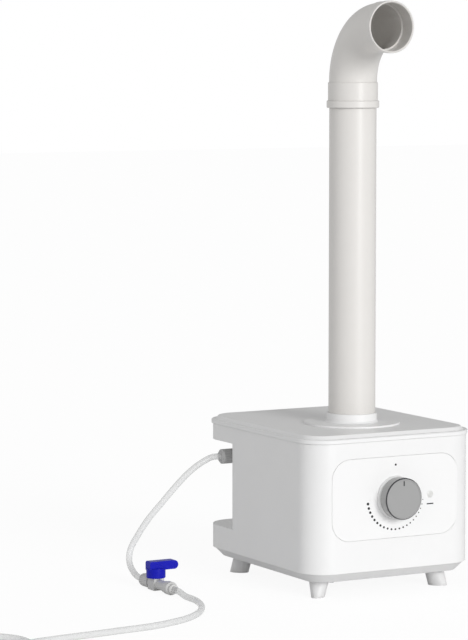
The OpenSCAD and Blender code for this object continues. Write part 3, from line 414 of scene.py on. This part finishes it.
class Finishes:
    """Builds each finish once from the shared groups."""

    def __init__(self):
        self.grain = moulded_grain_group()
        self.extruded = drawn_lines_group("Extrusion Lines", (420, 420, 5))
        self.brushed = drawn_lines_group("Brushed Lines", (900, 30, 900))
        self.edge = soft_edge_group()
        self.handling = handling_group()
        self.dust = dust_group()

    @staticmethod
    def place(tree, group, **values):
        """Puts a shared group into a material with its own values."""
        node = tree.nodes.new("ShaderNodeGroup")
        node.node_tree = group
        for name, value in values.items():
            node.inputs[name.replace("_", " ")].default_value = value
        return node

    def plastic(self, name, colour, roughness=0.38, spread=0.05, grain=1400.0, depth=0.05,
                radius=0.0008, lines=None, line_depth=0.0, mottle=0.03, edge=0.06, dust=0.25,
                shade_reach=0.012, **shader_values):
        """A surface with grain, soft edges with a painted highlight, handling marks, and dust with painted
        shade in inner corners.
        """
        material = bpy.data.materials.new(name)
        material.use_nodes = True
        tree = material.node_tree
        shader = tree.nodes["Principled BSDF"]
        for label, value in shader_values.items():
            shader.inputs[label.replace("_", " ")].default_value = value
        skin = self.place(tree, self.grain, Grain_Scale=grain)
        marks = self.place(tree, self.handling)
        rim = self.place(tree, self.edge, Radius=radius)
        settled_and_shaded = self.place(tree, self.dust, Amount=dust, Reach=shade_reach)

        # colour: a broad mottle, a painted highlight on edges, then dust and painted shade in inner corners
        deep = [c * (1 - mottle) for c in colour] + [1]
        light = [min(1, c * (1 + mottle)) for c in colour] + [1]
        tone = self.mix(tree, skin.outputs["Mottle"], deep, light)
        # painted highlight: edges made paler by the edge factor, as if a rounded edge caught the light
        edge_highlight = [min(1, c + (1 - c) * edge) for c in colour] + [1]
        tone = self.mix(tree, rim.outputs["Edge"], tone, edge_highlight)
        # dust on upward faces, and painted shade in inner corners, in the dust colour
        tone = self.mix(tree, settled_and_shaded.outputs["Dust And Shade"], tone, DUST_AND_SHADE_COLOUR)
        tree.links.new(tone, shader.inputs["Base Color"])

        # roughness: handling patches and dust
        patchy = math_node(tree, "SUBTRACT", marks.outputs["Patches"], 0.5)
        patchy = math_node(tree, "MULTIPLY", patchy, 2 * spread)
        dulled = math_node(tree, "MULTIPLY", settled_and_shaded.outputs["Dust And Shade"], DUST_DULLS)
        scuffed = math_node(tree, "MULTIPLY", marks.outputs["Scratches"], SCRATCH_DULLS)
        rough = math_node(tree, "ADD", patchy, roughness)
        rough = math_node(tree, "ADD", rough, dulled)
        rough = math_node(tree, "ADD", rough, scuffed, clamp=True)
        tree.links.new(rough, shader.inputs["Roughness"])

        # relief: grain, lines and scratches on the softened normal
        height = skin.outputs["Height"]
        if lines:
            drawn = self.place(tree, lines)
            raised = math_node(tree, "MULTIPLY", drawn.outputs["Height"], line_depth)
            height = math_node(tree, "ADD", height, raised)
        cut = math_node(tree, "MULTIPLY", marks.outputs["Scratches"], SCRATCH_CUT)
        height = math_node(tree, "SUBTRACT", height, cut)
        bump = tree.nodes.new("ShaderNodeBump")
        bump.inputs["Strength"].default_value = depth
        bump.inputs["Distance"].default_value = RELIEF
        tree.links.new(height, bump.inputs["Height"])
        tree.links.new(rim.outputs["Normal"], bump.inputs["Normal"])
        tree.links.new(bump.outputs[0], shader.inputs["Normal"])
        return material

    def clear(self, name, colour, roughness, grain, mottle=0.03, **shader_values):
        """A see-through moulding with a faint cloudiness and a smooth skin."""
        material = bpy.data.materials.new(name)
        material.use_nodes = True
        tree = material.node_tree
        shader = tree.nodes["Principled BSDF"]
        for label, value in shader_values.items():
            shader.inputs[label.replace("_", " ")].default_value = value
        skin = self.place(tree, self.grain, Grain_Scale=grain, Flow_Scale=24.0)
        deep = [c * (1 - mottle) for c in colour] + [1]
        light = [min(1, c * (1 + mottle)) for c in colour] + [1]
        tree.links.new(self.mix(tree, skin.outputs["Mottle"], deep, light), shader.inputs["Base Color"])
        cloudy = math_node(tree, "MULTIPLY", skin.outputs["Mottle"], 0.10)
        tree.links.new(math_node(tree, "ADD", cloudy, roughness - 0.05), shader.inputs["Roughness"])
        return material

    @staticmethod
    def mix(tree, factor, first, second):
        """Mixes two colours; factor and colours are values or sockets."""
        node = tree.nodes.new("ShaderNodeMix")
        node.data_type = "RGBA"
        for socket, value in ((node.inputs[0], factor), (node.inputs[6], first), (node.inputs[7], second)):
            if isinstance(value, bpy.types.NodeSocket):
                tree.links.new(value, socket)
            else:
                socket.default_value = value
        return node.outputs[2]


def dress_nodes(names, material):
    """Gives the finish to the named carried-over nodes."""
    for name in names:
        mesh = nodes[name].data
        mesh.materials.clear()
        mesh.materials.append(material)


def dress(slot, material):
    """Gives the finish to every carried-over node of a slot."""
    rows = frame["record"]["subparts"]
    dress_nodes([row["node"] for row in rows if row["material_slot"] == slot], material)


def start_clean():
    """Object mode with nothing selected."""
    if bpy.context.object and bpy.context.object.mode != "OBJECT":
        bpy.ops.object.mode_set(mode="OBJECT")
    bpy.ops.object.select_all(action="DESELECT")


def pick(obj, kind, wanted):
    """Leaves edit mode's selection on each "EDGE" or "FACE" for which wanted is true."""
    mesh = bmesh.from_edit_mesh(obj.data)
    bpy.context.tool_settings.mesh_select_mode = (False, kind == "EDGE", kind == "FACE")
    mesh.select_mode = {kind}
    elements = mesh.edges if kind == "EDGE" else mesh.faces
    for element in elements:
        element.select_set(False)
    for element in elements:
        if wanted(element):
            element.select_set(True)
    mesh.select_flush_mode()
    bmesh.update_edit_mesh(obj.data)


def settle(obj, name, body="cabinet"):
    """Puts the piece's place into its mesh and lets it ride."""
    start_clean()
    obj.select_set(True)
    bpy.context.view_layer.objects.active = obj
    bpy.ops.object.transform_apply(location=True, rotation=True, scale=True)
    obj.name = obj.data.name = name
    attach(obj, body)
    return obj


# ---------------------------------------------------------------- operators


class MIST_OT_stage(Operator):
    """Camera, pale floor and soft light"""

    bl_idname = "mist.stage"
    bl_label = "Set The Stage"

    def execute(self, context):
        settings = context.scene.mist_studio
        camera = bpy.data.cameras.new("camera")
        camera.lens = CAMERA_LENS
        camera.sensor_width = 36
        camera.clip_end = 60
        eye = bpy.data.objects.new("camera", camera)
        context.collection.objects.link(eye)
        eye.location = CAMERA_PLACE
        look = Vector(CAMERA_TARGET) - eye.location
        eye.rotation_euler = look.to_track_quat("-Z", "Y").to_euler()
        context.scene.camera = eye
        context.scene.view_settings.view_transform = "Standard"

        start_clean()
        bpy.ops.mesh.primitive_plane_add(size=FLOOR_WIDTH, location=FLOOR_MIDDLE)
        floor = context.object
        floor.name = "floor"
        paint = bpy.data.materials.new("pale_floor")
        paint.use_nodes = True
        tree = paint.node_tree
        shader = tree.nodes["Principled BSDF"]
        shader.inputs["Base Color"].default_value = FLOOR_PAINT
        shader.inputs["Roughness"].default_value = 0.9
        shader.inputs["Specular IOR Level"].default_value = 0.1
        shader.inputs["Emission Color"].default_value = WHITE
        shader.inputs["Emission Strength"].default_value = FLOOR_GLOW
        glow = add_node(tree, "ShaderNodeEmission", Strength=FLOOR_WASH)
        seen = math_node(tree, "MULTIPLY", bright_rays(tree), settings.wash)
        both = tree.nodes.new("ShaderNodeMixShader")
        tree.links.new(seen, both.inputs[0])
        tree.links.new(shader.outputs[0], both.inputs[1])
        tree.links.new(glow.outputs[0], both.inputs[2])
        tree.links.new(both.outputs[0], tree.nodes["Material Output"].inputs[0])
        floor.data.materials.append(paint)

        world = bpy.data.worlds.new("studio")
        context.scene.world = world
        world.use_nodes = True
        tree = world.node_tree
        tree.nodes.clear()
        around = add_node(tree, "ShaderNodeBackground", Strength=1.0)
        split = tree.nodes.new("ShaderNodeSeparateXYZ")
        tree.links.new(tree.nodes.new("ShaderNodeTexCoord").outputs["Generated"], split.inputs[0])
        height = math_node(tree, "MAXIMUM", split.outputs["Z"], 0.0)
        overhead = math_node(tree, "MULTIPLY", height, settings.zenith - settings.horizon)
        even = math_node(tree, "ADD", overhead, settings.horizon)
        shaded = math_node(tree, "MULTIPLY", split.outputs["X"], settings.shade)
        dimmed = math_node(tree, "SUBTRACT", 1.0, shaded)
        tree.links.new(math_node(tree, "MULTIPLY", even, dimmed), around.inputs["Strength"])
        behind = add_node(tree, "ShaderNodeBackground", Strength=1.0)
        around.inputs["Color"].default_value = behind.inputs["Color"].default_value = WHITE
        both = tree.nodes.new("ShaderNodeMixShader")
        sky = tree.nodes.new("ShaderNodeOutputWorld")
        tree.links.new(bright_rays(tree), both.inputs[0])
        tree.links.new(around.outputs[0], both.inputs[1])
        tree.links.new(behind.outputs[0], both.inputs[2])
        tree.links.new(both.outputs[0], sky.inputs[0])

        light = bpy.data.lights.new("key", "SUN")
        light.energy = settings.key
        light.angle = settings.softness
        key = bpy.data.objects.new("key", light)
        level = math.cos(KEY_RISE)
        towards = Vector((math.sin(KEY_TURN) * level, -math.cos(KEY_TURN) * level, math.sin(KEY_RISE)))
        key.rotation_euler = towards.to_track_quat("Z", "Y").to_euler()
        context.collection.objects.link(key)
        return {"FINISHED"}


class MIST_OT_hose_upper(Operator):
    """Hose that hangs from the inlet fitting to the shut-off valve"""

    bl_idname = "mist.hose_upper"
    bl_label = "Upper Hose"

    def execute(self, context):
        settings = context.scene.mist_supply
        points = rounded_route(UPPER_ROUTE, 2)
        hose = hose_along("hose_upper", points, settings.hose / 2)
        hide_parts("supply_tube_upper")
        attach(hose, "cabinet")
        return {"FINISHED"}


class MIST_OT_hose_lower(Operator):
    """Hose from the valve over the floor, its stored coil and the end at the tap adapter"""

    bl_idname = "mist.hose_lower"
    bl_label = "Lower Hose"

    def execute(self, context):
        settings = context.scene.mist_supply
        points = rounded_route(LOWER_ROUTE, 2) + coil_points(settings) + rounded_route(TAIL_ROUTE, 2)
        hose = hose_along("hose_lower", points, settings.hose / 2)
        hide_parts("supply_tube_lower", "supply_tube_coil", "supply_tube_tail")
        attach(hose, "cabinet")
        return {"FINISHED"}


class MIST_OT_coil_tie(Operator):
    """Hook and loop strap round the turns of the stored coil"""

    bl_idname = "mist.coil_tie"
    bl_label = "Coil Tie"

    def execute(self, context):
        settings = context.scene.mist_supply
        middle = placed((*COIL_CENTRE, 0)) + Vector((-settings.coil, 0, 0))
        low = CLEAR_OF_FLOOR
        high = settings.hose * STRAP_TOP
        start_clean()
        bpy.ops.mesh.primitive_cube_add(size=1, location=(middle.x, middle.y, (low + high) / 2))
        tie = context.object
        tie.scale = (settings.hose + 2 * STRAP_GAP, settings.strap_width, high - low)
        bpy.ops.object.transform_apply(location=True, rotation=False, scale=True)
        bpy.ops.object.mode_set(mode="EDIT")
        pick(tie, "FACE", lambda face: abs(face.normal.y) > 0.9)
        bpy.ops.mesh.delete(type="ONLY_FACE")
        pick(tie, "EDGE", lambda edge: abs(edge.verts[0].co.y - edge.verts[1].co.y) > 0.01)
        bpy.ops.mesh.bevel(offset=STRAP_CORNER, segments=8, affect="EDGES")
        pick(tie, "FACE", lambda face: face.normal.z > 0.99)
        bpy.ops.mesh.subdivide(number_cuts=3)
        bpy.ops.mesh.select_all(action="SELECT")
        bpy.ops.mesh.normals_make_consistent(inside=False)
        bpy.ops.object.mode_set(mode="OBJECT")
        wall = tie.modifiers.new("wall", "SOLIDIFY")
        wall.thickness = settings.strap_wall
        wall.offset = 1
        edge = tie.modifiers.new("edge", "BEVEL")
        edge.width = 0.0003
        edge.segments = 2
        for modifier in ("wall", "edge"):
            bpy.ops.object.modifier_apply(modifier=modifier)
        settle(tie, "coil_tie")
        bpy.ops.object.shade_smooth_by_angle(angle=math.radians(40))
        tie.data.materials.append(finishes().plastic(
            "strap_weave", (0.03, 0.03, 0.033), roughness=0.85, spread=0.08, grain=2600, depth=0.6,
            radius=0.0002, mottle=0.25, edge=0.1, dust=0.5))
        return {"FINISHED"}


def finishes():
    """The shared groups, made on first use."""
    if not hasattr(finishes, "kept"):
        finishes.kept = Finishes()
    return finishes.kept


class MIST_OT_cabinet_finish(Operator):
    """Moulded finishes of the cabinet, lid, feet and control panel"""

    bl_idname = "mist.cabinet_finish"
    bl_label = "Cabinet Finish"

    def execute(self, context):
        settings = context.scene.mist_cabinet
        white = tuple(settings.shell)
        build = finishes().plastic
        dress("white_plastic", build("cabinet_white", white, roughness=0.36, depth=0.07, radius=0.0012))
        base = build("base_white", tuple(c * settings.base_tone for c in white), roughness=0.42, depth=0.12,
                     radius=0.0012, dust=0.4)
        dress_nodes(["base_pan", "foot_front_left", "foot_front_right", "foot_rear_left",
                     "foot_rear_right"], base)
        dress("panel_plastic", build("panel_white", tuple(min(1, c * 1.03) for c in white),
                                     roughness=0.28, spread=0.008,
                                     grain=2200, depth=0.03, radius=0.0005, mottle=0.002, dust=0.02,
                                     Coat_Weight=0.15))
        dress("pale_rubber", build("foot_pad_rubber", tuple(c * 0.9 for c in white), roughness=0.7,
                                   grain=2600, depth=0.2, mottle=0.05, dust=0.4))
        dress("rubber", build("grey_rubber", (0.035, 0.035, 0.037), roughness=0.8, grain=2600, depth=0.35,
                              mottle=0.15, dust=0.6))
        return {"FINISHED"}


class MIST_OT_duct_finish(Operator):
    """Extruded and moulded finish of the mist duct and its elbow"""

    bl_idname = "mist.duct_finish"
    bl_label = "Duct Finish"

    def execute(self, context):
        warm = tuple(context.scene.mist_cabinet.duct)
        # A large amount and a long occlusion reach paint shade down the inside of the duct's bore and elbow,
        # along with dust.
        dress("ivory_pvc", finishes().plastic(
            "duct_plastic", warm, roughness=0.34, spread=0.06, grain=700, depth=0.05, radius=0.0010,
            lines=finishes().extruded, line_depth=1.4, mottle=0.03, dust=0.9, shade_reach=0.06,
            Coat_Weight=0.5, Coat_Roughness=0.2))
        return {"FINISHED"}


class MIST_OT_control_finish(Operator):
    """Knob lacquer, printed marks and the lamp's lens"""

    bl_idname = "mist.control_finish"
    bl_label = "Control Finish"

    @staticmethod
    def shade_round_the_face(material):
        """Paints shade as a dark narrow ring on the lacquer where the knob's face meets its side."""
        tree = material.node_tree
        shader = tree.nodes["Principled BSDF"]
        low, high = (Vector(corner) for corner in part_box("control_knob"))
        axis = (low + high) / 2
        rim = (high.x - low.x) / 2
        place = tree.nodes.new("ShaderNodeTexCoord")
        offset = add_node(tree, "ShaderNodeVectorMath", operation="SUBTRACT")
        offset.inputs[1].default_value = axis
        flat = add_node(tree, "ShaderNodeVectorMath", operation="MULTIPLY")
        flat.inputs[1].default_value = (1, 0, 1)
        span = add_node(tree, "ShaderNodeVectorMath", operation="LENGTH")
        tree.links.new(place.outputs["Object"], offset.inputs[0])
        tree.links.new(offset.outputs[0], flat.inputs[0])
        tree.links.new(flat.outputs[0], span.inputs[0])
        split = tree.nodes.new("ShaderNodeSeparateXYZ")
        tree.links.new(place.outputs["Object"], split.inputs[0])
        outer = math_node(tree, "GREATER_THAN", span.outputs["Value"], rim - SHADE_RING_WIDTH)
        front = math_node(tree, "LESS_THAN", split.outputs["Y"], low.y + SHADE_RING_DEPTH)
        shade_ring = math_node(tree, "MULTIPLY", outer, front)
        colour = shader.inputs["Base Color"].links[0].from_socket
        # painted shade: the ring turns near black where the face's edge would fall into shadow
        dark = Finishes.mix(tree, shade_ring, colour, (0.05, 0.05, 0.055, 1))
        tree.links.new(dark, shader.inputs["Base Color"])

    def execute(self, context):
        build = finishes().plastic
        knob = build("knob_lacquer", tuple(context.scene.mist_cabinet.knob), roughness=0.42,
                     grain=3000, depth=0.08, radius=0.0006, mottle=0.02, edge=0.04, dust=0.1,
                     Coat_Weight=0.35, Coat_Roughness=0.15)
        self.shade_round_the_face(knob)
        dress("knob_grey", knob)
        dress("print_black", build("printed_ink", (0.012, 0.012, 0.014), roughness=0.55, grain=5000,
                                   depth=0.15, radius=0.0001, mottle=0.3))
        dress("lens", finishes().clear("lamp_lens", (0.93, 0.93, 0.91), roughness=0.3, grain=1800,
                                       Transmission_Weight=0.25, IOR=1.49))
        return {"FINISHED"}


class MIST_OT_valve_finish(Operator):
    """Fittings, shut-off valve, lever and milky hose"""

    bl_idname = "mist.valve_finish"
    bl_label = "Valve Finish"

    def execute(self, context):
        build = finishes().plastic
        dress("fitting_grey", build("fitting_acetal", (0.50, 0.50, 0.50), roughness=0.42, grain=1900,
                                    depth=0.1, radius=0.0005))
        dress("valve_white", build("valve_acetal", (0.62, 0.62, 0.615), roughness=0.36, grain=1900,
                                   depth=0.08, radius=0.0006))
        dress("lever_blue", build("lever_moulding", tuple(context.scene.mist_cabinet.lever), roughness=0.30,
                                  grain=1700, depth=0.05, radius=0.0007, mottle=0.08, edge=0.0, dust=0.0,
                                  Specular_IOR_Level=0.25))
        milky = finishes().clear("milky_hose", tuple(context.scene.mist_supply.tint), roughness=0.26,
                                 grain=260, IOR=1.42, Alpha=0.5)
        for name in ("hose_upper", "hose_lower"):
            bpy.data.objects[name].data.materials.append(milky)
        return {"FINISHED"}


class MIST_OT_works_finish(Operator):
    """Finishes of what stands inside: tank, transducers, float valve, blower and boards"""

    bl_idname = "mist.works_finish"
    bl_label = "Inner Works Finish"

    def execute(self, context):
        build = finishes().plastic
        brushed = finishes().brushed
        dress("steel", build("plain_steel", (0.56, 0.57, 0.58), roughness=0.34, spread=0.1, grain=900,
                             depth=0.08, lines=brushed, line_depth=1.2, Metallic=1.0, edge=0.3))
        dress("disc_brass", build("plated_brass", (0.62, 0.46, 0.20), roughness=0.28, spread=0.1, grain=1500,
                                  depth=0.05, Metallic=1.0, edge=0.2))
        dress("dark_plastic", build("dark_moulding", (0.022, 0.022, 0.024), roughness=0.5, grain=1300,
                                    depth=0.14, mottle=0.1))
        dress("impeller_grey", build("impeller_moulding", (0.22, 0.22, 0.23), roughness=0.45, grain=1300,
                                     depth=0.1))
        dress("float_blue", build("float_moulding", (0.03, 0.12, 0.42), roughness=0.35, grain=1500,
                                  depth=0.08))
        dress("tank_plastic", build("tank_moulding", (0.72, 0.76, 0.79), roughness=0.24, grain=900,
                                    depth=0.06, Transmission_Weight=0.35, IOR=1.4))
        dress("board_green", build("solder_mask", (0.014, 0.13, 0.05), roughness=0.3, grain=1200, depth=0.12,
                                   mottle=0.2, Coat_Weight=0.4))
        return {"FINISHED"}


class MIST_PT_panel(Panel):
    """Settings and build steps"""

    bl_label = "Mist Cabinet"
    bl_idname = "MIST_PT_panel"
    bl_space_type = "VIEW_3D"
    bl_region_type = "UI"
    bl_category = "Mist Cabinet"

    def draw(self, context):
        layout = self.layout
        for holder in (context.scene.mist_supply, context.scene.mist_cabinet, context.scene.mist_studio):
            box = layout.box()
            for name in holder.__annotations__:
                box.prop(holder, name)
        for step in STEPS:
            layout.operator(step.bl_idname)


STEPS = (MIST_OT_stage, MIST_OT_coil_tie, MIST_OT_hose_upper, MIST_OT_hose_lower, MIST_OT_cabinet_finish,
         MIST_OT_duct_finish, MIST_OT_control_finish, MIST_OT_valve_finish, MIST_OT_works_finish)
CLASSES = (SupplySettings, CabinetSettings, StudioSettings, *STEPS, MIST_PT_panel)


def register():
    for cls in CLASSES:
        bpy.utils.register_class(cls)
    bpy.types.Scene.mist_supply = PointerProperty(type=SupplySettings)
    bpy.types.Scene.mist_cabinet = PointerProperty(type=CabinetSettings)
    bpy.types.Scene.mist_studio = PointerProperty(type=StudioSettings)


def unregister():
    del bpy.types.Scene.mist_studio
    del bpy.types.Scene.mist_cabinet
    del bpy.types.Scene.mist_supply
    for cls in reversed(CLASSES):
        bpy.utils.unregister_class(cls)


def main():
    register()
    for step in STEPS:
        group, name = step.bl_idname.split(".")
        getattr(getattr(bpy.ops, group), name)()
    bpy.context.view_layer.update()


if __name__ == "__main__":
    main()
